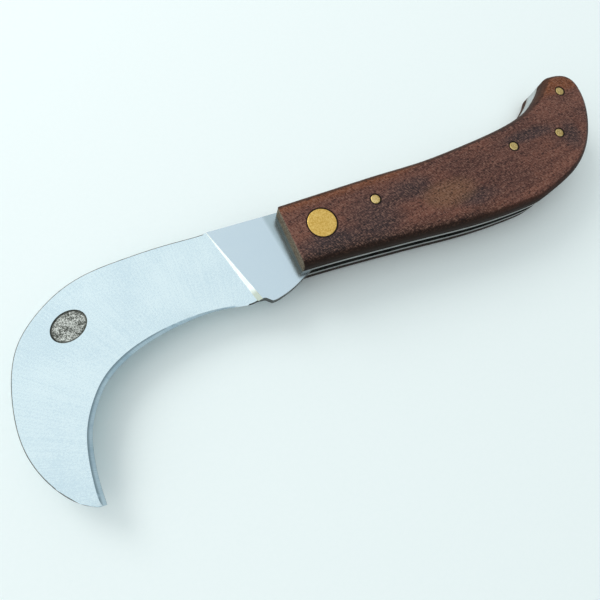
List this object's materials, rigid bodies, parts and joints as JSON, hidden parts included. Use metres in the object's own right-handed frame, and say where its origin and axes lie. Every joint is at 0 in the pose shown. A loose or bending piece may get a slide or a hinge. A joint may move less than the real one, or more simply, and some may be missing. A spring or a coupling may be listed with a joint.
{
  "type": "folding pruning knife",
  "caption": "Folding knife with a deeply hooked blade that turns on a pivot between two wooden scales and is held open or shut by a back spring.",
  "frame": {"origin": "on the pivot axis, at the lower scale's outer face, which is the face that the knife lies on", "axes": "+Z along the pivot axis, through the thickness; +X from the pivot towards the handle's butt; +Y towards the back of the handle and the spine of the open blade, away from the hook"},
  "size_m": [0.1886, 0.0685, 0.0145],
  "materials": {
    "blade_steel": "satin, fine lengthways polish",
    "spring_steel": "satin",
    "liner_steel": "satin",
    "wood": "oiled and polished red-brown hardwood",
    "brass": "filed flush and brushed"
  },
  "bodies": {
    "handle": {"back_spring": "spring_steel", "lower_liner": "liner_steel", "upper_liner": "liner_steel", "lower_scale": "wood", "upper_scale": "wood", "pivot_pin": "brass", "lower_rosette": "brass", "upper_rosette": "brass", "spring_pin": "brass", "butt_pin": "brass", "lower_front_pin": "brass", "upper_front_pin": "brass", "lower_rear_pin": "brass", "upper_rear_pin": "brass"},
    "blade": {"blade": "blade_steel"}
  },
  "joints": [
    {"name": "blade_fold", "type": "hinge", "parent": "handle", "child": "blade", "pos_m": [0, 0, 0.00725], "axis": [0, 0, 1], "range_deg": [0, 154.9], "deforming": ["back_spring"]}
  ]
}
